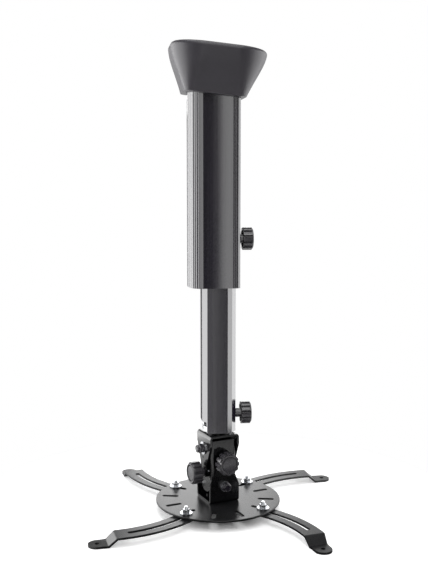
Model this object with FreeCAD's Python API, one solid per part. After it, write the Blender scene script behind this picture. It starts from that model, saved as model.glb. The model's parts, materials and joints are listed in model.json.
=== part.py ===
import FreeCAD, Part
import math
import os

V = FreeCAD.Vector
Z = V(0, 0, 1)

# Driving dimensions, millimetres; heights are counted from the round plate's top face
TOTAL_H = 528.7          # round plate's top to the ceiling plane
HEAD_TURN = 18.0         # head turned about the swivel axis, degrees
GAP = 0.3                # running clearance between sliding and turning pieces
FIT = 0.05               # clearance of plain cylinders that stand for threads
BOLT_R = 3.0             # M6 bolts and studs

# Inner column: twelve sides, four of them wide, on the swivel axis
IN_HALF, IN_FLAT, IN_SIDE = 20.0, 9.0, 8.3
IN_CORNER_X, IN_CORNER_Y, IN_WALL = 14.6, 16.4, 2.0
IN_BOTTOM, IN_TOP = 85.6, 392.0
NOTCH_W, NOTCH_H = 30.0, 12.4

# Outer column: an extrusion with an eight-sided bore, and a duct on its left
OUT_X, OUT_Y, OUT_R = 59.3, 50.0, 5.0
OUT_BOTTOM = 259.0
BORE_GAP, BORE_CUT = 0.6, 6.0
WALL_RIGHT, WALL_LEFT = 2.8, 2.25
BORE_HALF = IN_HALF + BORE_GAP
AX = OUT_X / 2 - WALL_RIGHT - BORE_HALF     # swivel axis from the middle of the outer column
DUCT_MARGIN = 4.5
FACETS = [(0.0, 19.0), (4.25, 5.5), (10.65, 0.6), (15.75, 0.0)]   # from the left side, from the front
FACET_ROUND = 0.8
GROOVE_W, GROOVE_DEEP = 0.9, 0.7
DISH_EDGE, DISH_DEEP = 0.35, 1.1
BUSH_H, BUSH_GAP = 26.0, 0.25
GLIDE_CAP, GLIDE_SKIRT = 3.0, 14.0

# Ceiling plate inside the cover
PLATE_C, PLATE_C_T, PLATE_C_R = 74.0, 3.0, 6.0
FIX_X, FIX_Y, FIX_W, FIX_L = 56.0, 60.0, 6.0, 11.0
CABLE_HOLE_R = 12.0
SCREW_R, SCREW_HEAD_R, SCREW_L = 1.6, 3.2, 16.0

# Cover: rows of height, half widths in x and y, and corner radius
COVER_DROP = 49.4        # cover's lower edge below the ceiling plane, pushed up and askew
COVER_LEAN = 5.8         # loose cover hangs askew, degrees
COVER_WALL = 2.2
COVER_LOW = TOTAL_H - COVER_DROP
COVER_H, RIM_ROUND = 53.0, 4.5
RIM = [(0.0, 35.2, 34.0, 9.0), (12.0, 40.4, 39.1, 16.0), (25.5, 46.8, 45.4, 25.0), (40.0, 52.9, 51.5, 34.0),
       (COVER_H, 55.3, 53.9, 40.0)]

# Clamp knobs with a hollow back
KNOB_R, KNOB_T, KNOB_LOBES = 13.4, 12.0, 12
FLUTE_R, FLUTE_DEEP = 2.1, 1.7
KNOB_WALL, KNOB_FACE, KNOB_HUB_R = 1.3, 3.0, 5.4
KNOB_EDGE, FACE_RING_R, FACE_RING_W = 1.9, 9.6, 0.5
THREAD_IN = 6.0          # length of thread in a knob's head
HEIGHT_KNOB_Z, HEIGHT_BOSS = 314.7, 3.2
SWIVEL_KNOB_Z, SWIVEL_BOSS = 105.2, 6.4
TILT_BOSS, ROLL_BOSS = 5.2, 1.4
INSERT_R, INSERT_FLANGE_R, INSERT_FLANGE = 4.5, 6.6, 1.8
LOCK_R = 5.2
SPINDLE_R, SPINDLE_TOP, SPINDLE_COLLAR_R = 9.0, 119.0, 14.0
SPINDLE_NECK, NECK_HALF = 1.0, 4.0
BLOCK_SOLID_TOP, BLOCK_TOP, RISER_W = 92.0, 117.0, 5.4

# Head: two yokes on a square sleeve
CROSS_HALF, CROSS_T = 16.2, 2.0
CROSS_LOW, CROSS_TOP = 11.0, 75.8
YOKE_T, YOKE_BEND = 2.5, 4.0
YOKE_HALF = CROSS_HALF + GAP + YOKE_T
WEB_TOP = 82.5
TILT_Z, TILT_KNOB_Z = 64.5, 35.5
ROLL_Z, ROLL_KNOB_Z = 20.5, 50.0
EAR_R = 7.0
SWING = 15.0             # tilt and roll travel each way, degrees
SLOT_SLACK = 0.4
HOLE_SLACK = 0.2
WASHER_T, WASHER_R, WIDE_WASHER_R = 1.4, 6.4, 7.6
HEX_AF, BOLT_HEAD_T = 10.0, 4.0
NUT_T, NUT_COLLAR_T, NUT_COLLAR_R = 5.0, 2.4, 4.6
COACH_R, COACH_T = 5.5, 2.4

# Round plate and arms
PLATE_R, PLATE_T = 75.0, 2.5
SLOTS, SLOT_EDGE, SLOT_LEN, SLOT_W = 12, 7.1, 19.9, 5.6
SLOT_OUT = PLATE_R - SLOT_EDGE
SLOT_IN = SLOT_OUT - SLOT_LEN
RIVET_AT, RIVET_R, RIVET_HEAD_R, RIVET_HEAD, RIVET_TAIL = 8.0, 2.4, 3.8, 1.6, 1.3
BOLT_AT = SLOT_OUT - SLOT_W / 2 - 0.6
ARM_W, ARM_T, ARM_R = 24.0, 2.5, 140.0
ARM_BACK, ARM_SLOT_END, ARM_BEND, FOOT_HOLE = 14.0, 81.0, 93.0, 115.0
SLOT_BACK = 0.4
FOOT_W, FOOT_DROP, FOOT_HOLE_R = 20.0, 8.2, 2.75
BEND_LEAD, BEND_RUN, BEND_IN, FOOT_SHOULDER = 1.5, 9.5, 1.2, 6.0
ARM_BOLT_R, ARM_BOLT_TOP, ARM_HEAD_R, ARM_HEAD_T = 2.5, 9.0, 6.5, 2.8
ARM_NUT_AF, ARM_NUT_T, ARM_SLOT_W = 8.0, 4.0, 5.5
ARM_WASHER_R = 7.3
ARMS = {                 # angle of the slot, swing and pull-in of the arm, degrees, as photographed
    "front_left": (210.0, -1.0, 0.0),
    "front_right": (300.0, 0.75, 2.4),
    "rear_right": (30.0, -6.5, 0.0),
    "rear_left": (120.0, 4.0, 0.0),
}

os.makedirs("parts", exist_ok=True)


def save(name, shape):
    shape = shape.copy()
    shape.translate(V(0, 0, -TOTAL_H))
    shape.exportStep("parts/" + name + ".step")


def poly(points, z, height):
    """A prism on a closed polygon."""
    wire = Part.makePolygon([V(x, y, z) for x, y in points] + [V(points[0][0], points[0][1], z)])
    return Part.Face(wire).extrude(V(0, 0, height))


def box(x0, x1, y0, y1, z0, z1):
    return Part.makeBox(x1 - x0, y1 - y0, z1 - z0, V(x0, y0, z0))


def cyl(r, z0, z1, x=0.0, y=0.0):
    return Part.makeCylinder(r, z1 - z0, V(x, y, z0), Z)


def rod(r, start, end):
    a, b = V(*start), V(*end)
    return Part.makeCylinder(r, (b - a).Length, a, b - a)


def rod_x(r, x0, x1, z):
    return rod(r, (x0, 0, z), (x1, 0, z))


def rod_y(r, y0, y1, z):
    return rod(r, (0, y0, z), (0, y1, z))


def rims(shape, z):
    """Round edges of a shape at a height."""
    found = []
    for e in shape.Edges:
        b = e.BoundBox
        if abs(b.ZMin - z) < 1e-6 and abs(b.ZMax - z) < 1e-6 and b.XLength > 1:
            found.append(e)
    return found


def round_wire(hx, hy, r, z, cx=0.0, cy=0.0):
    """Rounded rectangle of four lines and four arcs."""
    k = r * (1 - math.sqrt(0.5))
    xs, ys = hx - r, hy - r
    edges = [
        Part.makeLine(V(cx - xs, cy - hy, z), V(cx + xs, cy - hy, z)),
        Part.Arc(V(cx + xs, cy - hy, z), V(cx + hx - k, cy - hy + k, z), V(cx + hx, cy - ys, z)).toShape(),
        Part.makeLine(V(cx + hx, cy - ys, z), V(cx + hx, cy + ys, z)),
        Part.Arc(V(cx + hx, cy + ys, z), V(cx + hx - k, cy + hy - k, z), V(cx + xs, cy + hy, z)).toShape(),
        Part.makeLine(V(cx + xs, cy + hy, z), V(cx - xs, cy + hy, z)),
        Part.Arc(V(cx - xs, cy + hy, z), V(cx - hx + k, cy + hy - k, z), V(cx - hx, cy + ys, z)).toShape(),
        Part.makeLine(V(cx - hx, cy + ys, z), V(cx - hx, cy - ys, z)),
        Part.Arc(V(cx - hx, cy - ys, z), V(cx - hx + k, cy - hy + k, z), V(cx - xs, cy - hy, z)).toShape(),
    ]
    return Part.Wire(edges)


def round_box(hx, hy, r, z0, z1, cx=0.0, cy=0.0):
    return Part.Face(round_wire(hx, hy, r, z0, cx, cy)).extrude(V(0, 0, z1 - z0))


def column(grow, z0, z1, stretch=1.0):
    """Outer column's section as a prism: round corners on the right, three facets a corner on the left."""
    near = [(inset - OUT_X / 2, back - OUT_Y / 2) for inset, back in FACETS]
    corners = near + [(OUT_X / 2, -OUT_Y / 2), (OUT_X / 2, OUT_Y / 2)] + [(x, -y) for x, y in reversed(near)]
    wire = Part.makePolygon([V(x, y, z0) for x, y in corners + corners[:1]])
    if grow:
        wire = wire.makeOffset2D(grow, 2)
    spots = [v.Point for v in wire.OrderedVertexes]
    body = poly([(p.x * stretch, p.y) for p in spots], z0, z1 - z0)
    upright = [e for e in body.Edges if e.BoundBox.ZLength > (z1 - z0) / 2]
    outer = [e for e in upright if e.BoundBox.Center.x > 0]
    body = body.makeFillet(OUT_R, outer)
    upright = [e for e in body.Edges if e.BoundBox.ZLength > (z1 - z0) / 2 and e.BoundBox.Center.x < -OUT_X / 4]
    return body.makeFillet(FACET_ROUND, upright)


def slot(x0, x1, y, w, z0, z1):
    """Slot along x between the outermost points x0 and x1."""
    r = w / 2
    s = box(x0 + r, x1 - r, y - r, y + r, z0, z1)
    return s.fuse([cyl(r, z0, z1, x0 + r, y), cyl(r, z0, z1, x1 - r, y)]).removeSplitter()


def tube_points(inset=0.0):
    """Twelve-sided column outline on the swivel axis, moved inwards by inset."""
    corner = [(IN_FLAT, -IN_HALF), (IN_CORNER_X, -IN_CORNER_Y), (IN_HALF, -IN_SIDE)]
    pts = corner + [(x, -y) for x, y in reversed(corner)]
    pts = pts + [(-x, -y) for x, y in pts]
    n = len(pts)
    lines = []
    for i in range(n):
        (x0, y0), (x1, y1) = pts[i], pts[(i + 1) % n]
        dx, dy = x1 - x0, y1 - y0
        size = math.hypot(dx, dy)
        nx, ny = -dy / size, dx / size
        lines.append((nx, ny, nx * x0 + ny * y0 + inset))
    out = []
    for i in range(n):
        a, b = lines[i - 1], lines[i]
        det = a[0] * b[1] - a[1] * b[0]
        out.append(((a[2] * b[1] - a[1] * b[2]) / det + AX, (a[0] * b[2] - a[2] * b[0]) / det))
    return out


def tube(inset, z0, z1):
    return poly(tube_points(inset), z0, z1 - z0)


def bore(inset, z0, z1):
    """Prism that fills the outer column's eight-sided bore, moved inwards by inset."""
    h = BORE_HALF - inset
    k = h - BORE_CUT + inset * (2 - math.sqrt(2))
    corner = [(h, -k), (h, k), (k, h), (-k, h)]
    return poly([(AX + x, y) for x, y in corner + [(-x, -y) for x, y in corner]], z0, z1 - z0)


def head(shape):
    """From the head's own axes to the mount's."""
    shape = shape.copy()
    shape.rotate(V(0, 0, 0), Z, HEAD_TURN)
    shape.translate(V(AX, 0, 0))
    return shape


def hexagon(af, z0, z1, turn=0.0):
    """Hexagon prism with its corners eased at both ends."""
    r = af / math.sqrt(3)
    angles = [math.radians(60 * i + turn) for i in range(6)]
    blank = cyl(r, z0, z1)
    blank = blank.makeChamfer(0.8 * (r - af / 2), rims(blank, z0) + rims(blank, z1))
    return blank.common(poly([(r * math.cos(a), r * math.sin(a)) for a in angles], z0, z1 - z0))


def lay(shape, axis, at):
    """Turn a shape made on +Z so that its axis points along axis, then put its origin at a point."""
    shape = shape.copy()
    turn = FreeCAD.Rotation(Z, V(*axis))
    shape.Placement = FreeCAD.Placement(V(*at), turn).multiply(shape.Placement)
    return shape


def lock_nut(turn):
    """Nut on +Z with a round collar that holds its locking ring."""
    collar = cyl(NUT_COLLAR_R, NUT_T - 0.5, NUT_T + NUT_COLLAR_T)
    collar = collar.makeFillet(0.9, rims(collar, NUT_T + NUT_COLLAR_T))
    return hexagon(HEX_AF, 0, NUT_T, turn).fuse(collar).removeSplitter()


def knob(boss):
    """Lobed clamp knob on +Z: boss first, then the hollow head, its face outermost."""
    z0, z1 = boss, boss + KNOB_T
    body = cyl(KNOB_R, z0, z1)
    body = body.makeFillet(KNOB_EDGE, rims(body, z1))
    flute_at = KNOB_R - FLUTE_DEEP + FLUTE_R
    flutes = []
    for i in range(KNOB_LOBES):
        a = 2 * math.pi * (i + 0.5) / KNOB_LOBES
        flutes.append(cyl(FLUTE_R, z0 - 1, z1 + 1, flute_at * math.cos(a), flute_at * math.sin(a)))
    body = body.cut(Part.makeCompound(flutes))
    hollow = cyl(KNOB_R - FLUTE_DEEP - KNOB_WALL, z0 - 1, z1 - KNOB_FACE)
    body = body.cut(hollow.cut(cyl(KNOB_HUB_R, z0 - 2, z1)))
    ring = cyl(FACE_RING_R, z1 - FACE_RING_W, z1 + 1).cut(cyl(FACE_RING_R - FACE_RING_W, z1 - 1, z1 + 2))
    body = body.cut(ring).cut(cyl(FACE_RING_R - FACE_RING_W, z1 - 0.3, z1 + 1))
    return body.fuse(cyl(KNOB_HUB_R, 0, z0 + 1)).removeSplitter()


def clamp_knob(boss, radius):
    """Knob with a blind hole for its stud."""
    return knob(boss).cut(cyl(radius, -1, boss + THREAD_IN))


# Ceiling plate and its screws
top = TOTAL_H
left, right = -OUT_X / 2, OUT_X / 2
duct_left, duct_right = left + WALL_LEFT, AX - BORE_HALF - WALL_LEFT
duct_x, duct_half = (duct_left + duct_right) / 2, (duct_right - duct_left) / 2
plate = round_box(PLATE_C / 2, PLATE_C / 2, PLATE_C_R, top - PLATE_C_T, top)
for sx in (-1, 1):
    for sy in (-1, 1):
        cx, cy = sx * FIX_X / 2, sy * FIX_Y / 2
        plate = plate.cut(slot(cx - FIX_L / 2, cx + FIX_L / 2, cy, FIX_W, top - PLATE_C_T - 1, top + 1))
duct_y = OUT_Y / 2 - 11.0
plate = plate.cut(round_box(duct_half - 0.9, duct_y, 2.0, top - PLATE_C_T - 1, top + 1, duct_x, 0.0))
plate = plate.cut(cyl(CABLE_HOLE_R, top - PLATE_C_T - 1, top + 1, AX, 0))
port_y = (BORE_HALF + OUT_Y / 2 - 0.8) / 2
port_xs = (duct_right + 4.6, right - 3.45)
PORTS = [(port_xs[0], -port_y), (port_xs[1], -port_y), (port_xs[1], port_y), (port_xs[0], port_y)]
sink_t = SCREW_HEAD_R - SCREW_R
screws = []
for px, py in PORTS:
    sink = Part.makeCone(SCREW_R, SCREW_HEAD_R, sink_t, V(px, py, top - sink_t), Z)
    plate = plate.cut(sink.fuse(cyl(SCREW_R, top - PLATE_C_T - 1, top, px, py)))
    shank = cyl(SCREW_R, top - SCREW_L, top - sink_t, px, py)
    cross = box(px - 1.8, px + 1.8, py - 0.35, py + 0.35, top - 0.9, top + 1)
    cross = cross.fuse(box(px - 0.35, px + 0.35, py - 1.8, py + 1.8, top - 0.9, top + 1))
    screws.append(sink.fuse(shank).cut(cross).removeSplitter())
save("ceiling_plate", plate)
save("column_screws", Part.makeCompound(screws))

# Outer column: extruded, grooved posts, dished front and back, duct on the left
o0, o1 = OUT_BOTTOM, top - PLATE_C_T
long = o1 - o0 + 2
body = column(0.0, o0, o1)
body = body.cut(bore(0.0, o0 - 1, o1 + 1))
duct = round_box(duct_half, OUT_Y / 2 - DUCT_MARGIN, 2.0, o0 - 1, o1 + 1, duct_x, 0.0)
body = body.cut(duct.common(column(-WALL_LEFT, o0 - 1, o1 + 1)))
d0, d1 = left + FACETS[-1][0], right - 8.15
g = GROOVE_W / 2
for sy in (-1, 1):
    h = OUT_Y / 2
    a, b = V(d0, sy * (h - DISH_EDGE), o0 - 1), V(d1, sy * (h - DISH_EDGE), o0 - 1)
    m = V((d0 + d1) / 2, sy * (h - DISH_DEEP), o0 - 1)
    p, q = V(d1, sy * (h + 2), o0 - 1), V(d0, sy * (h + 2), o0 - 1)
    lines = [Part.makeLine(b, p), Part.makeLine(p, q), Part.makeLine(q, a)]
    body = body.cut(Part.Face(Part.Wire([Part.Arc(a, m, b).toShape()] + lines)).extrude(V(0, 0, long)))
    gx = right - 4.45
    body = body.cut(box(gx - g, gx + g, sy * h - GROOVE_DEEP, sy * h + GROOVE_DEEP, o0 - 1, o1 + 1))
    body = body.cut(box(d1 + 0.9, d1 + 0.9 + GROOVE_W, sy * h - 0.5, sy * h + 0.5, o0 - 1, o1 + 1))
for gy in (4.6 - OUT_Y / 2, OUT_Y / 2 - 4.6):
    body = body.cut(box(right - GROOVE_DEEP, right + GROOVE_DEEP, gy - g, gy + g, o0 - 1, o1 + 1))
for px, py in PORTS:
    body = body.cut(cyl(SCREW_R, top - SCREW_L, o1 + 1, px, py))
body = body.cut(rod_x(INSERT_R, AX + IN_HALF - 2, right + 10, HEIGHT_KNOB_Z))
save("outer_column", body)

# Plastic guide bush in the lower end
save("guide_bush", bore(0.0, o0, o0 + BUSH_H).cut(tube(-BUSH_GAP, o0 - 1, o0 + BUSH_H + 1)))

# Threaded insert of the height clamp, its knob and stud
z = HEIGHT_KNOB_Z
flange = rod_x(INSERT_FLANGE_R, right, right + INSERT_FLANGE, z)
insert = rod_x(INSERT_R, AX + BORE_HALF, right, z).fuse(flange)
insert = insert.removeSplitter().cut(rod_x(BOLT_R + FIT, 0, right + 10, z))
save("height_insert", insert)
kx = right + INSERT_FLANGE + GAP
save("height_knob", lay(clamp_knob(HEIGHT_BOSS, BOLT_R), (1, 0, 0), (kx, 0, z)))
save("height_stud", rod_x(BOLT_R, AX + IN_HALF + GAP, kx + HEIGHT_BOSS + THREAD_IN, z))


# Ceiling cover: flared shell with a rolled rim, hung askew on the column
def flare(inset, rows, straight=False):
    wires = [round_wire(a - inset, b - inset, r - inset * 0.6, COVER_LOW + z) for z, a, b, r in rows]
    return Part.makeLoft(wires, True, straight)


def between(z, low, high):
    """Row at a height between two rows."""
    k = (z - low[0]) / (high[0] - low[0])
    return tuple(p + k * (q - p) for p, q in zip(low, high))


outer = flare(0.0, RIM)
lip = [e for e in outer.Edges if e.BoundBox.ZMin > COVER_LOW + COVER_H - 1e-3]
outer = outer.makeFillet(RIM_ROUND, lip)
floor_row = between(COVER_WALL, RIM[0], RIM[1])
neck_row = between(COVER_H - RIM_ROUND - 2, RIM[-2], RIM[-1])
inner = flare(COVER_WALL, [floor_row] + RIM[1:-1] + [neck_row])
mouth = RIM_ROUND + 1.6 - COVER_WALL
mouth_row = (COVER_H + 0.5, RIM[-1][1] - mouth, RIM[-1][2] - mouth, RIM[-1][3] - mouth)
neck = flare(COVER_WALL, [neck_row, mouth_row], True)
cover = outer.cut(inner).cut(neck)
lean = math.radians(COVER_LEAN)
gate_x = (OUT_X / 2 + COVER_WALL * math.sin(lean) + GAP) / math.cos(lean)
cover = cover.cut(column(GAP, COVER_LOW - 1, COVER_LOW + COVER_WALL + 1, gate_x / (OUT_X / 2 + GAP)))
cover.rotate(V(0, 0, COVER_LOW), V(0, 1, 0), COVER_LEAN)
save("ceiling_cover", cover)

# Inner column, its top glide and the block that takes the swivel spindle
z = SWIVEL_KNOB_Z
shaft = tube(0.0, IN_BOTTOM, IN_TOP).cut(tube(IN_WALL, IN_BOTTOM - 1, IN_TOP + 1))
n = NOTCH_W / 2
shaft = shaft.cut(box(AX - IN_HALF - 5, AX - IN_CORNER_X, -n, n, IN_BOTTOM - 1, IN_BOTTOM + NOTCH_H))
shaft = shaft.cut(rod_x(LOCK_R, AX + IN_HALF - 5, AX + IN_HALF + 5, z))
save("inner_column", shaft)
glide = bore(GAP, IN_TOP, IN_TOP + GLIDE_CAP).fuse(tube(IN_WALL, IN_TOP - GLIDE_SKIRT, IN_TOP + 1))
inside = IN_HALF - 6
low, high = IN_TOP - GLIDE_SKIRT - 5, IN_TOP + GLIDE_CAP + 5
glide = glide.removeSplitter().cut(round_box(inside, inside, 4.0, low, high, AX, 0))
save("top_glide", glide)
riser = AX - IN_HALF + IN_WALL + RISER_W
block = tube(IN_WALL, IN_BOTTOM + 0.4, BLOCK_SOLID_TOP)
upper = box(riser, AX + IN_HALF, -IN_HALF, IN_HALF, BLOCK_SOLID_TOP - 1, BLOCK_TOP)
block = block.fuse(tube(IN_WALL, BLOCK_SOLID_TOP, BLOCK_TOP).common(upper)).removeSplitter()
lock_end = AX + IN_HALF + 0.6
block = block.fuse(rod_x(LOCK_R, AX + IN_HALF - 5, lock_end, z)).removeSplitter()
block = block.cut(cyl(SPINDLE_R + FIT, IN_BOTTOM - 5, BLOCK_TOP + 5, AX, 0))
block = block.cut(rod_x(BOLT_R + FIT, AX, lock_end + 1, z))
save("swivel_insert", block)
kx = lock_end + GAP
save("swivel_knob", lay(clamp_knob(SWIVEL_BOSS, BOLT_R), (1, 0, 0), (kx, 0, z)))
save("swivel_stud", rod_x(BOLT_R, AX + SPINDLE_R - SPINDLE_NECK + GAP, kx + SWIVEL_BOSS + THREAD_IN, z))

# Swivel spindle, in the head's axes like everything below it
web_in = WEB_TOP - YOKE_T
spindle = cyl(SPINDLE_COLLAR_R, WEB_TOP, IN_BOTTOM - GAP).fuse(cyl(SPINDLE_R, WEB_TOP, SPINDLE_TOP))
neck = cyl(SPINDLE_R + 1, z - NECK_HALF, z + NECK_HALF)
neck = neck.cut(cyl(SPINDLE_R - SPINDLE_NECK, z - NECK_HALF - 1, z + NECK_HALF + 1))
spindle = spindle.cut(neck).fuse(cyl(BOLT_R + 1, web_in, WEB_TOP))
spindle = spindle.fuse(hexagon(HEX_AF + 3, web_in - BOLT_HEAD_T, web_in)).removeSplitter()
save("swivel_spindle", head(spindle))

# Upper yoke
w = YOKE_HALF


def bent_u(depth, low, high):
    """Inverted U in x and z, made along y, its web on top."""
    t, ro, ri = YOKE_T, YOKE_BEND, YOKE_BEND - YOKE_T
    k, j = ro * (1 - math.sqrt(0.5)), ri * (1 - math.sqrt(0.5))
    y = -depth
    p = [
        Part.makeLine(V(-w, y, low), V(-w, y, high - ro)),
        Part.Arc(V(-w, y, high - ro), V(-w + k, y, high - k), V(-w + ro, y, high)).toShape(),
        Part.makeLine(V(-w + ro, y, high), V(w - ro, y, high)),
        Part.Arc(V(w - ro, y, high), V(w - k, y, high - k), V(w, y, high - ro)).toShape(),
        Part.makeLine(V(w, y, high - ro), V(w, y, low)),
        Part.makeLine(V(w, y, low), V(w - t, y, low)),
        Part.makeLine(V(w - t, y, low), V(w - t, y, high - ro)),
        Part.Arc(V(w - t, y, high - ro), V(w - t - j, y, high - t - j), V(w - ro, y, high - t)).toShape(),
        Part.makeLine(V(w - ro, y, high - t), V(-w + ro, y, high - t)),
        Part.Arc(V(-w + ro, y, high - t), V(-w + t + j, y, high - t - j), V(-w + t, y, high - ro)).toShape(),
        Part.makeLine(V(-w + t, y, high - ro), V(-w + t, y, low)),
        Part.makeLine(V(-w + t, y, low), V(-w, y, low)),
    ]
    return Part.Face(Part.Wire(p)).extrude(V(0, 2 * depth, 0))


def ear(points, tip):
    """Flange outline in y and z extruded along x over the yoke, with a round tip at height tip."""
    reach = w + 5
    half = [(-y, z) for y, z in reversed(points)]
    corners = [V(-reach, y, z) for y, z in points + half]
    e = Part.Face(Part.makePolygon(corners + [corners[0]])).extrude(V(2 * reach, 0, 0))
    return e.fuse(rod_x(EAR_R, -reach, reach, tip)).removeSplitter()


yoke = bent_u(w, TILT_KNOB_Z - EAR_R - 1, WEB_TOP)
taper = [(-w, WEB_TOP + 1), (-w, TILT_Z + 5.5), (-EAR_R - 1.6, TILT_KNOB_Z + 11), (-EAR_R, TILT_KNOB_Z)]
yoke = yoke.common(ear(taper, TILT_KNOB_Z))
yoke = yoke.cut(rod_x(BOLT_R + HOLE_SLACK, -w - 1, w + 1, TILT_Z))
yoke = yoke.cut(rod_x(BOLT_R, -w - 1, 0, TILT_KNOB_Z))
yoke = yoke.cut(rod(1.2, (-w - 1, 1.5, TILT_KNOB_Z + 17.5), (0, 1.5, TILT_KNOB_Z + 17.5)))
yoke = yoke.cut(cyl(BOLT_R + 1, web_in - 1, WEB_TOP + 1))
save("upper_yoke", head(yoke))

# Tilt pivot: lock nut on a wide washer on the left, bolt head and washer on the right
nut_face = w + WASHER_T
bolt_end = nut_face + NUT_T + NUT_COLLAR_T + 0.5
bolt = lay(hexagon(HEX_AF, 0, BOLT_HEAD_T, 15.0), (1, 0, 0), (nut_face, 0, TILT_Z))
save("tilt_bolt", head(bolt.fuse(rod_x(BOLT_R, -bolt_end, nut_face, TILT_Z)).removeSplitter()))
hole = rod_x(BOLT_R, -w - 20, w + 20, TILT_Z)
washers = [rod_x(WIDE_WASHER_R, -nut_face, -w, TILT_Z), rod_x(WASHER_R, w, nut_face, TILT_Z)]
washers = [ring.cut(hole) for ring in washers]
save("tilt_washers", head(Part.makeCompound(washers)))
save("tilt_nut", head(lay(lock_nut(0.0), (-1, 0, 0), (-nut_face, 0, TILT_Z)).cut(hole)))

# Tilt clamp: coach bolt from inside, knob outside
inside = CROSS_HALF - CROSS_T - GAP
clamp_at = w + GAP


def clamp_bolt(end):
    """Coach bolt on +Z, its domed head at the start, counted from the head's flat."""
    dome = cyl(COACH_R, -COACH_T, 0)
    dome = dome.makeFillet(COACH_T / 2, rims(dome, -COACH_T))
    return dome.fuse(cyl(BOLT_R, -0.5, end)).removeSplitter()


def clamp_pair(boss):
    """Coach bolt and knob of one clamp, each on +Z."""
    stud = clamp_bolt(clamp_at + boss + THREAD_IN - inside)
    hub = clamp_knob(boss, BOLT_R + FIT)
    return stud, hub.cut(cyl(BOLT_R + FIT, 0, boss + THREAD_IN + GAP))


stud, clamp = clamp_pair(TILT_BOSS)
save("tilt_stud", head(lay(stud, (-1, 0, 0), (-inside, 0, TILT_KNOB_Z))))
save("tilt_knob", head(lay(clamp, (-1, 0, 0), (-clamp_at, 0, TILT_KNOB_Z))))

# Cross bracket: square sleeve with rounded ears below and two arc slots
c = CROSS_HALF
sleeve = round_box(c, c, CROSS_T + 1.2, CROSS_LOW, CROSS_TOP)
sleeve = sleeve.cut(round_box(c - CROSS_T, c - CROSS_T, 1.2, CROSS_LOW - 1, CROSS_TOP + 1))
outline = [(-c, CROSS_TOP), (-c, CROSS_LOW + 14.0), (2.6 - c, CROSS_LOW + 7.6)]
outline = outline + [(-c / 2, CROSS_LOW + 2.0), (-c / 4, CROSS_LOW)]
outline = outline + [(-y, z) for y, z in reversed(outline)]
wire = Part.makePolygon([V(-c - 9, y, z) for y, z in outline + outline[:1]])
ears_x = Part.Face(wire).extrude(V(2 * c + 18, 0, 0))
ears_y = ears_x.copy()
ears_y.rotate(V(0, 0, 0), Z, 90)
cross = sleeve.common(ears_x.fuse(ears_y))


def arc_slot(pivot, r, half):
    """Clamp slot in the y-z plane about (0, pivot), made along x; a negative r runs below the pivot."""
    a = math.radians(half)
    wide = BOLT_R + SLOT_SLACK
    up, r = math.copysign(1, r), abs(r)
    reach = c + 9

    def at(radius, t):
        return V(-reach, radius * math.sin(t), pivot + up * radius * math.cos(t))

    ro, ri = r + wide, r - wide
    wire = Part.Wire([
        Part.Arc(at(ro, -a), at(ro, 0), at(ro, a)).toShape(),
        Part.makeLine(at(ro, a), at(ri, a)),
        Part.Arc(at(ri, a), at(ri, 0), at(ri, -a)).toShape(),
        Part.makeLine(at(ri, -a), at(ro, -a)),
    ])
    s = Part.Face(wire).extrude(V(2 * reach, 0, 0))
    for end in (at(r, -a), at(r, a)):
        s = s.fuse(Part.makeCylinder(wide, 2 * reach, end, V(1, 0, 0)))
    return s


s_tilt = arc_slot(TILT_Z, TILT_KNOB_Z - TILT_Z, SWING)
s_roll = arc_slot(ROLL_Z, ROLL_KNOB_Z - ROLL_Z, SWING)
s_roll.rotate(V(0, 0, 0), Z, 90)
cross = cross.cut(s_tilt.common(box(-2 * c, 0, -2 * c, 2 * c, 0, 2 * TILT_Z)))
cross = cross.cut(s_roll.common(box(-2 * c, 2 * c, -2 * c, 0, 0, 2 * TILT_Z)))
cross = cross.cut(rod_x(BOLT_R + FIT, -2 * c, 2 * c, TILT_Z)).cut(rod_y(BOLT_R + FIT, -2 * c, 2 * c, ROLL_Z))
save("cross_bracket", head(cross))

# Lower yoke
low = bent_u(w, -ROLL_KNOB_Z - EAR_R - 1, 0.0)
low.rotate(V(0, 0, 0), V(1, 0, 0), 180)
low = low.common(ear([(-w, -1), (-w, ROLL_Z + 0.8), (-EAR_R, ROLL_KNOB_Z)], ROLL_KNOB_Z))
low.rotate(V(0, 0, 0), Z, 90)
low = low.cut(rod_y(BOLT_R + HOLE_SLACK, -w - 1, w + 1, ROLL_Z))
low = low.cut(rod_y(BOLT_R, -w - 1, 0, ROLL_KNOB_Z))
RIVETS = [(-RIVET_AT, -RIVET_AT), (RIVET_AT, -RIVET_AT), (RIVET_AT, RIVET_AT), (-RIVET_AT, RIVET_AT)]
for rx, ry in RIVETS:
    low = low.cut(cyl(RIVET_R, -1, YOKE_T + 1, rx, ry))
save("lower_yoke", head(low))

# Roll pivot: lock nut in front, bolt head behind
bolt = lay(hexagon(HEX_AF, 0, BOLT_HEAD_T, 20.0), (0, 1, 0), (0, nut_face, ROLL_Z))
save("roll_bolt", head(bolt.fuse(rod_y(BOLT_R, -bolt_end, nut_face, ROLL_Z)).removeSplitter()))
hole = rod_y(BOLT_R, -w - 20, w + 20, ROLL_Z)
washers = [rod_y(WASHER_R, -nut_face, -w, ROLL_Z).cut(hole), rod_y(WASHER_R, w, nut_face, ROLL_Z).cut(hole)]
save("roll_washers", head(Part.makeCompound(washers)))
save("roll_nut", head(lay(lock_nut(20.0), (0, -1, 0), (0, -nut_face, ROLL_Z)).cut(hole)))
stud, clamp = clamp_pair(ROLL_BOSS)
save("roll_stud", head(lay(stud, (0, -1, 0), (0, -inside, ROLL_KNOB_Z))))
save("roll_knob", head(lay(clamp, (0, -1, 0), (0, -clamp_at, ROLL_KNOB_Z))))

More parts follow.
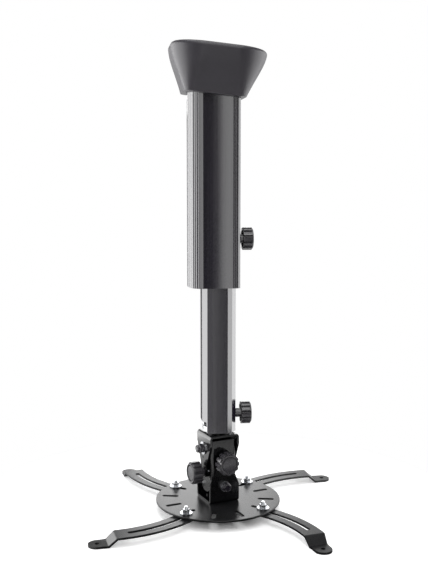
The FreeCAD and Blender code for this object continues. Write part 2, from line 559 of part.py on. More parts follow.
# Round plate with twelve slots, riveted to the lower yoke
disc = cyl(PLATE_R, -PLATE_T, 0)
disc = disc.makeFillet(0.6, rims(disc, -PLATE_T) + rims(disc, 0))
cuts = []
for i in range(SLOTS):
    s = slot(SLOT_IN, SLOT_OUT, 0, SLOT_W, -PLATE_T - 1, 1)
    s.rotate(V(0, 0, 0), Z, 360.0 / SLOTS * i)
    cuts.append(s)
cuts += [cyl(RIVET_R, -PLATE_T - 1, 1, rx, ry) for rx, ry in RIVETS]
save("round_plate", head(disc.cut(Part.makeCompound(cuts))))
rivets = []
for rx, ry in RIVETS:
    tail = cyl(RIVET_HEAD_R - 0.2, -PLATE_T - RIVET_TAIL, -PLATE_T, rx, ry)
    cap = cyl(RIVET_HEAD_R, YOKE_T, YOKE_T + RIVET_HEAD, rx, ry)
    rivets.append(cyl(RIVET_R, -PLATE_T, YOKE_T, rx, ry).fuse([cap, tail]).removeSplitter())
save("plate_rivets", head(Part.makeCompound(rivets)))


# Curved slotted arms, each with its coach bolt, washer and nut
def arm_point(s, off):
    """Point at arc length s from the bolt, off to the left of the way out."""
    t = s / ARM_R
    r = ARM_R + off
    return BOLT_AT + r * math.sin(t), -ARM_R + r * math.cos(t)


def band(s0, s1, half, z0, z1):
    """Strip that follows the arm's arc."""
    p = [V(*arm_point(s, half), z0) for s in (s0, (s0 + s1) / 2, s1)]
    q = [V(*arm_point(s, -half), z0) for s in (s0, (s0 + s1) / 2, s1)]
    wire = Part.Wire([
        Part.Arc(p[0], p[1], p[2]).toShape(),
        Part.makeLine(p[2], q[2]),
        Part.Arc(q[2], q[1], q[0]).toShape(),
        Part.makeLine(q[0], p[0]),
    ])
    return Part.Face(wire).extrude(V(0, 0, z1 - z0))


def edges_at(shape, places):
    """Edges along y that lie at the given places in x and z."""
    found = []
    for e in shape.Edges:
        b = e.BoundBox
        near = [1 for x, z in places if abs(b.Center.x - x) < 0.01 and abs(b.Center.z - z) < 0.01]
        if near and b.XLength < 0.01 and b.ZLength < 0.01:
            found.append(e)
    return found


a1 = -PLATE_T - GAP
a0 = a1 - ARM_T
h = ARM_W / 2
strip = band(h - ARM_BACK, ARM_BEND, h, a0, a1)
bx, by = arm_point(h - ARM_BACK, 0)
strip = strip.fuse(cyl(h, a0, a1, bx, by))
foot0, foot1 = a0 - FOOT_DROP, a1 - FOOT_DROP
t = ARM_BEND / ARM_R
ex, ey = arm_point(ARM_BEND, 0)
u0, u1 = BEND_LEAD, BEND_LEAD + BEND_RUN
skew = ARM_T * math.tan(math.atan2(FOOT_DROP, BEND_RUN) / 2)
u2 = u1 + BEND_RUN / 2
prof = [(0.0, a1), (u0, a1), (u1, foot1), (u2, foot1)]
prof = prof + [(u2, foot0), (u1 - skew, foot0), (u0 - skew, a0), (0.0, a0)]
wire = Part.makePolygon([V(u, -h, z) for u, z in prof + prof[:1]])
bend = Part.Face(wire).extrude(V(0, 2 * h, 0))
outer_turns = edges_at(bend, [(u0, a1), (u1 - skew, foot0)])
bend = bend.makeFillet(BEND_IN + ARM_T, outer_turns)
inner_turns = edges_at(bend, [(u1, foot1), (u0 - skew, a0)])
bend = bend.makeFillet(BEND_IN, inner_turns)
hole_at = FOOT_HOLE - ARM_BEND
f = FOOT_W / 2
side = [(-1, h + 1), (u0, h + 1), (u0, h), (hole_at - FOOT_SHOULDER, f), (hole_at, f)]
trim = poly([(u, -v) for u, v in side] + side[::-1], foot0 - 10, a1 + 10 - (foot0 - 10))
tab = box(u1, hole_at, -f, f, foot0, foot1).fuse(cyl(f, foot0, foot1, hole_at, 0))
tab = bend.common(trim).fuse(tab).cut(cyl(FOOT_HOLE_R, foot0 - 1, foot1 + 1, hole_at, 0))
tab.rotate(V(0, 0, 0), Z, -math.degrees(t))
tab.translate(V(ex, ey, 0))
strip = strip.fuse(tab).removeSplitter()
gap_half = ARM_SLOT_W / 2
slot_end = ARM_SLOT_END - gap_half
long_slot = band(-SLOT_BACK, slot_end, gap_half, a0 - 1, a1 + 1)
for s in (-SLOT_BACK, slot_end):
    sx, sy = arm_point(s, 0)
    long_slot = long_slot.fuse(cyl(gap_half, a0 - 1, a1 + 1, sx, sy))
strip = strip.cut(long_slot)

bolt_low = a0 - GAP
coach = cyl(ARM_HEAD_R, bolt_low - ARM_HEAD_T, bolt_low)
coach = coach.makeFillet(0.73 * ARM_HEAD_T, rims(coach, bolt_low - ARM_HEAD_T))
coach = coach.fuse(cyl(ARM_BOLT_R, bolt_low - 0.5, ARM_BOLT_TOP)).removeSplitter()
coach = coach.makeChamfer(0.5, rims(coach, ARM_BOLT_TOP))
hole = cyl(ARM_BOLT_R + FIT, -1, ARM_BOLT_TOP + 1)
washer = cyl(ARM_WASHER_R, GAP, GAP + WASHER_T).cut(hole)
arm_nut = hexagon(ARM_NUT_AF, GAP + WASHER_T, GAP + WASHER_T + ARM_NUT_T, 10.0).cut(hole)

for name, (angle, swing, pull) in ARMS.items():
    arm = strip.copy()
    arm.rotate(V(BOLT_AT, -ARM_R, 0), Z, pull)
    arm.rotate(V(BOLT_AT, 0, 0), Z, swing)
    arm.rotate(V(0, 0, 0), Z, angle)
    save("arm_" + name, head(arm))
    for label, shape in (("bolt_", coach), ("washer_", washer), ("nut_", arm_nut)):
        piece = shape.copy()
        piece.translate(V(BOLT_AT, 0, 0))
        piece.rotate(V(0, 0, 0), Z, angle)
        save(label + name, head(piece))
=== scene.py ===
"""Telescopic projector ceiling mount, standing on its four arm feet in a pale studio."""
import json
import math

import bmesh
import bpy
import numpy as np
from mathutils import Matrix, Vector


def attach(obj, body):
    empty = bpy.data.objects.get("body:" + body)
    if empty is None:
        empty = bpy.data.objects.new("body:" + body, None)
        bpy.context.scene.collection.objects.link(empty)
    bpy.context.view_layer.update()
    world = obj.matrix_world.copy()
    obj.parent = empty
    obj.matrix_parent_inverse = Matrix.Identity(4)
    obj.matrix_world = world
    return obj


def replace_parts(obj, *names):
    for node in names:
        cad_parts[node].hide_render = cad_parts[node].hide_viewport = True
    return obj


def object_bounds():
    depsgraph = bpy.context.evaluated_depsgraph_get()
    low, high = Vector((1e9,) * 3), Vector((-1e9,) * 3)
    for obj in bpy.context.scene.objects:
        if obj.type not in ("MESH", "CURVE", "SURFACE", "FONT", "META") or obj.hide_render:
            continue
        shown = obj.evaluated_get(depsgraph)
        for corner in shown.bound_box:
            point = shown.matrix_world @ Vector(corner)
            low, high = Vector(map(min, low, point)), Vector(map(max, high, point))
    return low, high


MM = 0.001

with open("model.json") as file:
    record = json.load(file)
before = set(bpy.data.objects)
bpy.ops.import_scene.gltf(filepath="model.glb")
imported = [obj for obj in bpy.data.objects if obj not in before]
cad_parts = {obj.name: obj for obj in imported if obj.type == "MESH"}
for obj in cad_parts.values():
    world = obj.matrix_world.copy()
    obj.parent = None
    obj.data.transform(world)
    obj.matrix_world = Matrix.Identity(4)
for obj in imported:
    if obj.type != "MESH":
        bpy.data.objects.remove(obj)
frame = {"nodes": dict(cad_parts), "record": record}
NODES = frame["nodes"]
CAD_BOX = [list(map(float, corner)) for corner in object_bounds()]
CEILING = 528.7                 # ceiling plane above the round plate's top, mm
AXIS_X = 6.25                   # swivel axis, mm
HEAD_TURN = math.radians(18.0)
FLOOR_Z = CAD_BOX[0][2]         # under the feet, metres
BODY_OF = {node: body for body, held in frame["record"]["behaviour"]["bodies"].items() for node in held}
SLOT_OF = {row["node"]: row["material_slot"] for row in frame["record"]["subparts"]}
SLOT_OF.update(tilt_bolt="anodised_black", roll_bolt="anodised_black")     # black plated, as photographed


# Where things are
def at_head(x, y, z):
    """Millimetres in the head's axes, counted from the round plate's top, to the mount's millimetres."""
    c, s = math.cos(HEAD_TURN), math.sin(HEAD_TURN)
    return (AXIS_X + c * x - s * y, s * x + c * y, z - CEILING)


def head_way(x, y, z=0.0):
    """Direction in the head's axes to the mount's axes."""
    c, s = math.cos(HEAD_TURN), math.sin(HEAD_TURN)
    return (c * x - s * y, s * x + c * y, z)


def frame_along(axis):
    """3x3 array whose rows are two directions across an axis and the axis itself."""
    w = np.asarray(axis, float)
    w = w / np.linalg.norm(w)
    u = np.cross((0.0, 0.0, 1.0), w)
    if np.linalg.norm(u) < 1e-6:
        u = np.cross((0.0, 1.0, 0.0), w)
    u = u / np.linalg.norm(u)
    return np.stack([u, np.cross(w, u), w])


# Surfaces on grids
def grid_faces(rows, cols):
    """Quads of a rows x cols grid as an index array, with the last column joined to the first."""
    r, c = np.meshgrid(np.arange(rows - 1), np.arange(cols), indexing="ij")
    r1, c1 = r + 1, (c + 1) % cols
    quad = np.stack([r * cols + c, r * cols + c1, r1 * cols + c1, r1 * cols + c], -1)
    return quad.reshape(-1, 4)


def mesh_piece(name, node, points, slot=None, smooth=35.0):
    """A closed shell of points in mm, rows from one pole to the other, that rides with a node's body."""
    mesh = bpy.data.meshes.new(name)
    faces = grid_faces(points.shape[0], points.shape[1])
    mesh.from_pydata((points.reshape(-1, 3) * MM).tolist(), [], faces.tolist())
    tidy_shell(mesh)
    mesh.polygons.foreach_set("use_smooth", np.ones(len(mesh.polygons), bool))
    mesh.set_sharp_from_angle(angle=math.radians(smooth))
    piece = bpy.data.objects.new(name, mesh)
    bpy.context.scene.collection.objects.link(piece)
    slot = slot or SLOT_OF[node]
    mesh.materials.append(FINISH[slot])
    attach(piece, BODY_OF[node])
    return piece


def tidy_shell(mesh):
    """Doubles merged, faces of no area gone, normals outwards."""
    bm = bmesh.new()
    bm.from_mesh(mesh)
    bmesh.ops.remove_doubles(bm, verts=bm.verts, dist=1e-6)
    bmesh.ops.dissolve_degenerate(bm, edges=bm.edges, dist=1e-7)
    bmesh.ops.recalc_face_normals(bm, faces=bm.faces)
    bm.to_mesh(mesh)
    bm.free()
    mesh.update()


def turned(profile, sides, radius_at=None):
    """Points of a profile of (radius, height) carried round the axis.

    radius_at(radius, height, angle) gives the radius there; without it the turning is round.
    """
    prof = np.asarray(profile, float)
    ang = np.linspace(0, 2 * np.pi, sides, endpoint=False)
    r = prof[:, 0][:, None] + 0 * ang[None]
    z = prof[:, 1][:, None] + 0 * ang[None]
    if radius_at is not None:
        r = radius_at(r, z, ang[None] + 0 * r)
    return np.stack([r * np.cos(ang), r * np.sin(ang), z], -1)


def rounded(corners, radius, steps=5):
    """Profile through corners, each inner one eased by a quadratic curve that starts radius before it."""
    pts = [np.asarray(p, float) for p in corners]
    out = [pts[0]]
    for a, b, c in zip(pts, pts[1:], pts[2:]):
        ra = min(radius, np.linalg.norm(a - b) * 0.49)
        rc = min(radius, np.linalg.norm(c - b) * 0.49)
        p, q = b + (a - b) / np.linalg.norm(a - b) * ra, b + (c - b) / np.linalg.norm(c - b) * rc
        t = np.linspace(0, 1, steps)[:, None]
        out.extend((1 - t) ** 2 * p + 2 * t * (1 - t) * b + t ** 2 * q)
    out.append(pts[-1])
    return np.array(out)


def placed(points, axis, at):
    """Points made on +Z, laid along an axis from a point."""
    return points @ frame_along(axis) + np.asarray(at, float)


# Materials
WAVE_PITCH = 0.314              # a wave texture of scale 1 repeats at this distance


class Finish:
    """A material's node tree with short names for the nodes that the finishes share."""

    def __init__(self, name):
        self.material = bpy.data.materials.new(name)
        self.material.use_nodes = True
        self.tree = self.material.node_tree
        self.shader = self.tree.nodes["Principled BSDF"]
        self.coords = self.tree.nodes.new("ShaderNodeTexCoord")

    def node(self, kind, **values):
        n = self.tree.nodes.new(kind)
        for key, value in values.items():
            if key in n.inputs:
                n.inputs[key].default_value = value
            else:
                setattr(n, key, value)
        return n

    def link(self, a, b):
        self.tree.links.new(a, b)

    def stretched(self, sx, sy, sz):
        m = self.node("ShaderNodeMapping")
        m.inputs["Scale"].default_value = (sx, sy, sz)
        self.link(self.coords.outputs["Object"], m.inputs["Vector"])
        return m.outputs["Vector"]

    def noise(self, scale, detail=3.0, rough=0.55, vector=None):
        n = self.node("ShaderNodeTexNoise", Scale=scale, Detail=detail, Roughness=rough)
        self.link(vector or self.coords.outputs["Object"], n.inputs["Vector"])
        return n.outputs["Fac"]

    def ranged(self, value, low, high, start=0.3, end=0.7):
        n = self.node("ShaderNodeMapRange")
        n.inputs["From Min"].default_value = start
        n.inputs["From Max"].default_value = end
        n.inputs["To Min"].default_value = low
        n.inputs["To Max"].default_value = high
        self.link(value, n.inputs["Value"])
        return n.outputs["Result"]

    def flutes(self, axis, pitch):
        n = self.node("ShaderNodeTexWave", wave_type="BANDS", wave_profile="SIN")
        n.bands_direction = axis
        n.inputs["Scale"].default_value = WAVE_PITCH / pitch
        self.link(self.coords.outputs["Object"], n.inputs["Vector"])
        return n.outputs["Fac"]

    def math(self, operation, *values):
        n = self.node("ShaderNodeMath", operation=operation)
        for value, socket in zip(values, n.inputs):
            self.link(value, socket)
        return n.outputs["Value"]

    def mixed(self, factor, dark, light):
        n = self.node("ShaderNodeMix", data_type="RGBA")
        n.inputs["A"].default_value = (*dark, 1)
        n.inputs["B"].default_value = (*light, 1)
        self.link(factor, n.inputs["Factor"])
        return n.outputs["Result"]

    def bump(self, height, strength, distance, under=None):
        n = self.node("ShaderNodeBump", Strength=strength, Distance=distance)
        self.link(height, n.inputs["Height"])
        if under is not None:
            self.link(under, n.inputs["Normal"])
        return n.outputs["Normal"]

    def set(self, **values):
        for key, value in values.items():
            self.shader.inputs[key.replace("_", " ")].default_value = value


def powder_coat(name, dark, light, rough, peel, index=1.5):
    """Baked powder coat: orange-peel skin, faint mottling in tone and gloss."""
    f = Finish(name)
    fine, broad = f.noise(1800.0, 2.0), f.noise(45.0, 2.0)
    f.link(f.mixed(f.ranged(broad, 0, 1), dark, light), f.shader.inputs["Base Color"])
    f.link(f.ranged(fine, rough - 0.05, rough + 0.06), f.shader.inputs["Roughness"])
    f.link(f.bump(fine, peel, 0.0002), f.shader.inputs["Normal"])
    f.set(IOR=index)
    return f.material


def moulded(name, dark, light, rough, grain, gloss):
    """Moulded plastic with a fine spark-eroded grain; gloss is its specular level."""
    f = Finish(name)
    fine, broad = f.noise(2200.0, 2.0), f.noise(30.0, 2.0)
    f.link(f.mixed(f.ranged(broad, 0, 1), dark, light), f.shader.inputs["Base Color"])
    f.link(f.ranged(fine, rough - 0.06, rough + 0.06), f.shader.inputs["Roughness"])
    f.link(f.bump(fine, grain, 0.0002), f.shader.inputs["Normal"])
    f.set(Specular_IOR_Level=gloss)
    return f.material


POST_X = 0.0205                                 # where the outer column's corner posts start, metres
FLUTE_PITCH, SIDE_FLUTE, POST_FLUTE = 0.0017, 0.00009, 0.00012


def anodised(name, dark, light, rough, index, fluted_sides=False):
    """Anodised extrusion: satin skin with die lines along it, and fine flutes down its sides and posts."""
    f = Finish(name)
    die_lines = f.noise(1.0, 4.0, 0.6, f.stretched(2200.0, 2200.0, 3.0))
    broad = f.noise(1.0, 2.0, 0.5, f.stretched(60.0, 60.0, 6.0))
    f.link(f.mixed(f.ranged(broad, 0, 1), dark, light), f.shader.inputs["Base Color"])
    f.link(f.ranged(die_lines, rough - 0.05, rough + 0.07), f.shader.inputs["Roughness"])
    skin = f.bump(die_lines, 0.02, 0.00005)
    if fluted_sides:
        skin = f.bump(f.flutes("Y", FLUTE_PITCH), 1.0, SIDE_FLUTE, skin)
        apart = f.node("ShaderNodeSeparateXYZ")
        f.link(f.coords.outputs["Object"], apart.inputs["Vector"])
        aside = f.math("ABSOLUTE", apart.outputs["X"])
        on_post = f.ranged(aside, 0.0, 1.0, POST_X - 0.0002, POST_X + 0.0002)
        skin = f.bump(f.math("MULTIPLY", on_post, f.flutes("X", FLUTE_PITCH)), 1.0, POST_FLUTE, skin)
    f.link(skin, f.shader.inputs["Normal"])
    f.set(IOR=index)
    return f.material


def zinc(name, dark, light, rough):
    """Bright plated or cast zinc with a cloudy passivated tone."""
    f = Finish(name)
    cloud, fine = f.noise(160.0, 3.0), f.noise(2600.0, 2.0)
    f.link(f.mixed(f.ranged(cloud, 0, 1), dark, light), f.shader.inputs["Base Color"])
    f.link(f.ranged(cloud, rough - 0.04, rough + 0.06), f.shader.inputs["Roughness"])
    f.link(f.bump(fine, 0.015, 0.0001), f.shader.inputs["Normal"])
    f.set(Metallic=1.0)
    return f.material


FINISH = {
    "cover_plastic": (moulded, (0.037, 0.0342, 0.0413), (0.044, 0.0407, 0.0492), 0.4, 0.1, 0.5),
    "knob_plastic": (moulded, (0.034, 0.032, 0.037), (0.042, 0.04, 0.046), 0.25, 0.04, 0.9),
    "bush_plastic": (moulded, (0.008, 0.008, 0.008), (0.012, 0.012, 0.012), 0.5, 0.1, 0.4),
    "anodised_black": (anodised, (0.01, 0.0082, 0.0145), (0.014, 0.0115, 0.02), 0.15, 2.1, True),
    "anodised_black_inner": (anodised, (0.01, 0.0082, 0.0145), (0.014, 0.0115, 0.02), 0.13, 2.2),
    "gloss_black": (powder_coat, (0.002, 0.002, 0.0024), (0.004, 0.004, 0.0046), 0.15, 0.012, 1.6),
    "satin_black": (powder_coat, (0.005, 0.005, 0.0055), (0.008, 0.008, 0.009), 0.31, 0.012),
    "zinc_plate": (zinc, (0.5, 0.51, 0.53), (0.64, 0.65, 0.67), 0.18),
    "zinc_cast": (zinc, (0.5, 0.51, 0.52), (0.6, 0.61, 0.62), 0.32),
    "brass_insert": (zinc, (0.62, 0.45, 0.2), (0.78, 0.6, 0.3), 0.3),
}
FINISH = {name: kind(name, *values) for name, (kind, *values) in FINISH.items()}

for node, obj in NODES.items():
    obj.data.materials.clear()
    obj.data.materials.append(FINISH[SLOT_OF[node]])
    obj.data.polygons.foreach_set("use_smooth", np.ones(len(obj.data.polygons), bool))
    obj.data.set_sharp_from_angle(angle=math.radians(24.0))


# Clamp knobs, mm
BOLT_R, FIT, GAP = 3.0, 0.05, 0.3               # pivot bolt and stud, their fit, gap between sheets
KNOB_R, KNOB_T, LOBES = 13.4, 12.0, 12
FLUTE_HALF, FLUTE_DEEP = 1.55, 2.5
BACK_R, FLOOR_T, HUB_R = 10.4, 3.0, 5.4         # hollow back, its floor, the hub in it
FACE_R, FACE_STEP = 11.7, 1.0
RING_R, RING_W, RING_DEEP = 10.0, 1.4, 1.8      # groove in the face
THREAD_IN = 6.0


def soft_min(a, b, k):
    """The smaller of two arrays, eased over a width k where they cross."""
    h = np.clip(0.5 + 0.5 * (b - a) / k, 0, 1)
    return b * (1 - h) + a * h - k * h * (1 - h)


def fluted(r, z, angle):
    """Radius less a flute: its depth times one less the fourth power of the distance from its middle."""
    pitch = 2 * np.pi / LOBES
    aside = (np.mod(angle, pitch) - pitch / 2) * KNOB_R / FLUTE_HALF
    wall = KNOB_R - FLUTE_DEEP * np.clip(1 - aside ** 4, 0, None)
    return np.where(r > FACE_R + 0.1, soft_min(r, wall, 0.35), r)


def knob_piece(node, axis, at, boss, hole):
    """Lobed clamp knob: a profile of radius and height carried round the axis, with flutes cut in its side.

    The profile runs from the middle of the face over a ring groove, a round shoulder and the lobed side
    into the hollow back, down the hub and into the blind hole of the stud.
    """
    z0, z1 = boss, boss + KNOB_T
    zs = z1 - FACE_STEP
    face = rounded([(0, z1 - 0.15), (RING_R - RING_W, z1 - 0.35), (RING_R - RING_W + 0.1, z1 - RING_DEEP),
                    (RING_R - 0.1, z1 - RING_DEEP), (RING_R, z1), (FACE_R - 0.1, z1), (FACE_R, zs - 0.9),
                    (FACE_R + 0.2, zs - 0.9)], 0.4, 5)
    side = rounded([(FACE_R + 0.3, zs - 0.9), (FACE_R + 0.5, zs), (KNOB_R, zs - 0.1), (KNOB_R, z0 + 0.2),
                    (KNOB_R - 0.3, z0)], 1.1, 7)
    back = rounded([(BACK_R, z0), (BACK_R, z1 - FLOOR_T), (HUB_R, z1 - FLOOR_T), (HUB_R, 0.0), (hole, 0.0),
                    (hole, boss + THREAD_IN), (0, boss + THREAD_IN)], 0.35, 4)
    points = turned(np.vstack([face, side, back]), LOBES * 24, fluted)
    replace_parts(mesh_piece(node + "_moulding", node, placed(points, axis, at), smooth=40.0), node)


YOKE_OUT = 19.0 + GAP                           # sheet faces that the tilt and roll clamps press on
TILT_CLAMP, ROLL_CLAMP = 35.5, 50.0             # heights above the round plate
TILT_PIVOT, ROLL_PIVOT = 64.5, 20.5
HEIGHT_CLAMP_X, HEIGHT_CLAMP = 31.75, 314.7
SWIVEL_LOCK_X, SWIVEL_LOCK = 27.15, 105.2
knob_piece("height_knob", (1, 0, 0), (HEIGHT_CLAMP_X, 0, HEIGHT_CLAMP - CEILING), 3.2, BOLT_R)
knob_piece("swivel_knob", (1, 0, 0), (SWIVEL_LOCK_X, 0, SWIVEL_LOCK - CEILING), 6.4, BOLT_R)
knob_piece("tilt_knob", head_way(-1, 0), at_head(-YOKE_OUT, 0, TILT_CLAMP), 5.2, BOLT_R + FIT)
knob_piece("roll_knob", head_way(0, -1), at_head(0, -YOKE_OUT, ROLL_CLAMP), 1.4, BOLT_R + FIT)


# Nuts and bolts, mm
NUT_FACE = YOKE_OUT + 1.4                       # on the pivots' washers
LOCK_NUT_FLATS, ARM_NUT_FLATS = 10.0, 8.0


def six_sided(flats, turn, easing=0.25):
    """Function that keeps a radius within a hexagon: half its width over the cosine off a flat's middle."""
    def held(r, z, angle):
        off = np.mod(angle - math.radians(turn), np.pi / 3) - np.pi / 6
        return np.where(r > 0.47 * flats, soft_min(r, flats / 2 / np.cos(off), easing), r)
    return held


def loop(*parts):
    """Profile of a ring: its parts in turn, then its first point again."""
    rows = np.vstack(parts)
    return np.vstack([rows, rows[:1]])


def lock_nut_piece(node, axis, at, turn):
    """Lock nut: a chamfered hexagon, then a round collar curled in over a nylon ring."""
    corner = LOCK_NUT_FLATS / math.sqrt(3)
    hole = BOLT_R + 0.02
    flank = rounded([(hole, 0), (4.8, 0), (corner, 0.55), (corner, 4.55), (4.75, 5.0), (4.6, 5.1)], 0.3, 4)
    collar = rounded([(4.6, 5.2), (4.6, 7.4), (3.75, 7.4), (3.7, 6.7), (3.7, 5.4), (hole, 5.4)], 0.7, 6)
    nut = turned(loop(flank, collar), 144, six_sided(LOCK_NUT_FLATS, turn))
    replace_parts(mesh_piece(node + "_turned", node, placed(nut, axis, at), slot="anodised_black"), node)
    ring = rounded([(hole + 0.05, 5.45), (3.65, 5.45), (3.65, 6.9), (hole + 0.05, 6.7), (hole + 0.05, 5.5)],
                   0.25, 4)
    mesh_piece(node + "_ring", node, placed(turned(loop(ring), 72), axis, at), slot="bush_plastic")


lock_nut_piece("tilt_nut", head_way(-1, 0), at_head(-NUT_FACE, 0, TILT_PIVOT), 30.0)
lock_nut_piece("roll_nut", head_way(0, -1), at_head(0, -NUT_FACE, ROLL_PIVOT), 20.0)


def ridged(start, end, pitch, depth):
    """Function that cuts a thread: depth times the triangle wave of height over pitch less the turn."""
    def cut(r, z, angle):
        wave = np.abs(2 * np.mod(z / pitch - angle / (2 * np.pi), 1.0) - 1)
        fade = np.clip((z - start) / pitch, 0, 1) * np.clip((end - z) / (0.5 * pitch), 0, 1)
        return r - np.where(r > 2.0, depth * wave * fade, 0)
    return cut


ARM_SLOTS = {"front_left": 210.0, "front_right": 300.0, "rear_right": 30.0, "rear_left": 120.0}
BOLT_AT, BOLT_LOW, BOLT_TOP = 64.5, -5.6, 9.0   # from the swivel axis, under the head, its end
STUD_R, SHANK_R = 2.5, 2.25
THREAD_LOW, THREAD_PITCH, THREAD_DEEP = 0.3, 0.8, 0.38
domed = rounded([(0, BOLT_LOW - 2.8), (5.9, BOLT_LOW - 2.8), (6.4, BOLT_LOW - 0.9), (6.0, BOLT_LOW - 0.15),
                 (SHANK_R, BOLT_LOW - 0.1), (SHANK_R, 0.0)], 1.9, 6)
threaded = np.stack([np.full(85, STUD_R), np.linspace(THREAD_LOW, BOLT_TOP - 0.4, 85)], -1)
tip = np.array([(STUD_R - 0.1, BOLT_TOP - 0.3), (STUD_R - 0.45, BOLT_TOP), (0, BOLT_TOP)])
thread = ridged(THREAD_LOW, BOLT_TOP, THREAD_PITCH, THREAD_DEEP)
arm_bolt = turned(np.vstack([domed, threaded, tip]), 48, thread)
nut_corner = ARM_NUT_FLATS / math.sqrt(3)
nut_side = rounded([(STUD_R + 0.02, 1.7), (3.8, 1.7), (nut_corner, 2.1), (nut_corner, 5.3), (3.8, 5.7),
                    (3.0, 5.7), (STUD_R + 0.02, 5.35)], 0.25, 4)
for place, angle in ARM_SLOTS.items():
    way = math.radians(angle)
    spot = at_head(BOLT_AT * math.cos(way), BOLT_AT * math.sin(way), 0)
    bolt = mesh_piece("bolt_threaded_" + place, "bolt_" + place, placed(arm_bolt, (0, 0, 1), spot))
    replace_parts(bolt, "bolt_" + place)
    arm_nut = turned(loop(nut_side), 144, six_sided(ARM_NUT_FLATS, angle - 62.0, 0.2))
    nut = mesh_piece("nut_turned_" + place, "nut_" + place, placed(arm_nut, (0, 0, 1), spot))
    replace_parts(nut, "nut_" + place)


# Floor, light, camera, metres
FLOOR_R, PAINTED_SHADE_R, CLEAR_R = 0.31, 0.05, 0.078   # sheet, its painted shade in the middle under the plate, where that painted shade ends
LIFT = 0.0002                                   # between feet and sheet


def stage_sheet(radius, sides=96):
    """A round sheet under the feet, a fan of triangles about its middle, white but for its shadow and a
    painted shade under the plate.
    """
    turn = np.linspace(0, 2 * np.pi, sides, endpoint=False)
    rim = np.stack([radius * np.cos(turn), radius * np.sin(turn), 0 * turn], -1)
    points = np.vstack([[[0.0, 0.0, 0.0]], rim]) + (AXIS_X * MM, 0.0, FLOOR_Z - LIFT)
    k = np.arange(sides)
    fan = np.stack([0 * k, k + 1, (k + 1) % sides + 1], -1)
    mesh = bpy.data.meshes.new("studio_floor")
    mesh.from_pydata(points.tolist(), [], fan.tolist())
    floor = bpy.data.objects.new("studio_floor", mesh)
    bpy.context.scene.collection.objects.link(floor)
    f = Finish("studio_floor")
    f.set(Base_Color=(0.92, 0.92, 0.92, 1), Roughness=0.8, Specular_IOR_Level=0.1)
    seen = f.node("ShaderNodeLightPath")
    away = f.node("ShaderNodeVectorMath", operation="DISTANCE")
    f.link(f.coords.outputs["Object"], away.inputs[0])
    away.inputs[1].default_value = (AXIS_X * MM, 0.0, FLOOR_Z)
    # painted shade: the glow that whitens the floor for the camera falls from 0.42 to 0.03 towards the
    # middle under the plate
    glow_with_painted_shade = f.ranged(away.outputs["Value"], 0.03, 0.42, PAINTED_SHADE_R, CLEAR_R)
    f.link(f.math("MULTIPLY", glow_with_painted_shade, seen.outputs["Is Camera Ray"]), f.shader.inputs["Emission Strength"])
    f.set(Emission_Color=(1, 1, 1, 1))
    mesh.materials.append(f.material)


stage_sheet(FLOOR_R)


def softbox(name, at, aim, wide, high, watts):
    """A rectangular area light at a place, turned to another."""
    lamp = bpy.data.lights.new(name, "AREA")
    lamp.shape = "RECTANGLE"
    lamp.size, lamp.size_y = wide, high
    lamp.energy = watts
    obj = bpy.data.objects.new(name, lamp)
    obj.location = at
    obj.rotation_euler = (Vector(aim) - Vector(at)).to_track_quat("-Z", "Y").to_euler()
    obj.visible_camera = False
    bpy.context.scene.collection.objects.link(obj)


softbox("key_softbox", (-0.1, -1.6, -0.45), (-0.03, 0, -0.45), 0.54, 1.7, 3.8)
softbox("fill_softbox", (0.0, -1.2, 1.0), (0, 0, -0.2), 1.2, 0.8, 10.0)
softbox("left_softbox", (-1.13, 0.4, -0.42), (0, 0, -0.42), 1.9, 1.9, 31.0)
softbox("right_softbox", (1.19, 0.13, -0.3), (0, 0, -0.35), 1.5, 1.6, 15.5)
softbox("back_softbox", (0.0, 4.0, 0.76), (0, 0, -0.5), 1.8, 1.2, 21.0)
softbox("top_softbox", (0.0, 0.0, 1.2), (0, 0, -0.5), 1.2, 1.2, 12.0)


def dark_reflection_card(name, corner, along, up):
    """A black card that only reflections see, a painted dark reflection, where it draws dark lines down
    bright edges.
    """
    corner, along, up = Vector(corner), Vector(along), Vector(up)
    mesh = bpy.data.meshes.new(name)
    mesh.from_pydata([corner, corner + along, corner + along + up, corner + up], [], [(0, 1, 2, 3)])
    card = bpy.data.objects.new(name, mesh)
    bpy.context.scene.collection.objects.link(card)
    card.visible_camera = False
    card.visible_shadow = False
    card.visible_diffuse = False
    f = Finish(name)
    f.set(Base_Color=(0.01, 0.01, 0.01, 1), Roughness=0.9, Specular_IOR_Level=0.0)
    mesh.materials.append(f.material)


# painted dark reflections: one card behind on the left, one lying on the floor in front of the plate
dark_reflection_card("left_dark_reflection_card", (-0.24, 0.9, FLOOR_Z - 0.5), (0.155, 0, 0), (0, 0, 1.45))
dark_reflection_card("front_dark_reflection_card", (-0.14, -0.155, FLOOR_Z - 0.0001), (0.5, 0, 0), (0, 0.085, 0))


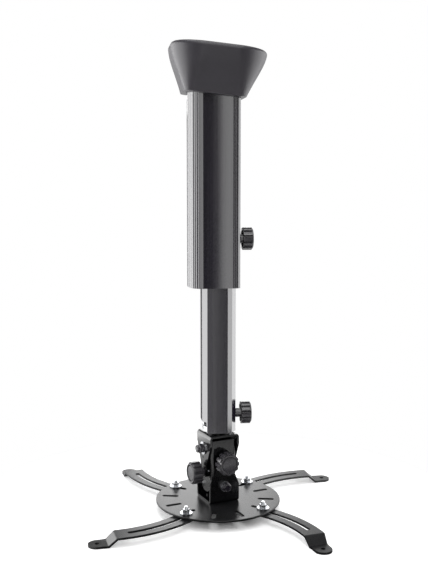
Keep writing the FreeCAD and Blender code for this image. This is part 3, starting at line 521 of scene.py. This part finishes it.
def studio_world(front, back, high):
    """White surroundings at the back that fall off behind the camera and overhead; white to the camera."""
    world = bpy.data.worlds.new("studio")
    world.use_nodes = True
    bpy.context.scene.world = world
    tree = world.node_tree
    backdrop = tree.nodes["Background"]
    backdrop.inputs["Color"].default_value = (1, 1, 1, 1)
    place = tree.nodes.new("ShaderNodeTexCoord")
    parts = tree.nodes.new("ShaderNodeSeparateXYZ")
    tree.links.new(place.outputs["Generated"], parts.inputs["Vector"])

    def eased(value, start, end, low, high):
        fall = tree.nodes.new("ShaderNodeMapRange")
        fall.interpolation_type = "SMOOTHSTEP"
        fall.inputs["From Min"].default_value = start
        fall.inputs["From Max"].default_value = end
        fall.inputs["To Min"].default_value = low
        fall.inputs["To Max"].default_value = high
        tree.links.new(value, fall.inputs["Value"])
        return fall.outputs["Result"]

    def joined(operation, a, b):
        n = tree.nodes.new("ShaderNodeMath")
        n.operation = operation
        tree.links.new(a, n.inputs[0])
        tree.links.new(b, n.inputs[1])
        return n.outputs[0]

    depth = eased(parts.outputs["Y"], -1.0, 0.3, front, back)
    sky = eased(parts.outputs["Z"], 0.25, 0.6, 1.0, high)
    path = tree.nodes.new("ShaderNodeLightPath")
    seen = joined("MAXIMUM", path.outputs["Is Camera Ray"], joined("MULTIPLY", depth, sky))
    tree.links.new(seen, backdrop.inputs["Strength"])


studio_world(0.05, 1.0, 0.15)

# Camera, as the photograph was taken; angles are to the right of +Y and downwards
FOCAL_PX, LONG_PX = 900.0, 571.0
CAMERA_AT = (-0.1275, -1.0444, (393.7 - CEILING) * MM)
YAW, PITCH = math.radians(7.04), math.radians(7.26)
lens = bpy.data.cameras.new("camera")
lens.sensor_width = 36.0
lens.lens = 36.0 * FOCAL_PX / LONG_PX
lens.clip_start, lens.clip_end = 0.01, 50.0
camera = bpy.data.objects.new("camera", lens)
look = Vector((math.sin(YAW) * math.cos(PITCH), math.cos(YAW) * math.cos(PITCH), -math.sin(PITCH)))
camera.matrix_world = Matrix.Translation(CAMERA_AT) @ look.to_track_quat("-Z", "Y").to_matrix().to_4x4()
bpy.context.scene.collection.objects.link(camera)
bpy.context.scene.camera = camera
bpy.context.scene.view_settings.view_transform = "Standard"

bpy.context.view_layer.update()
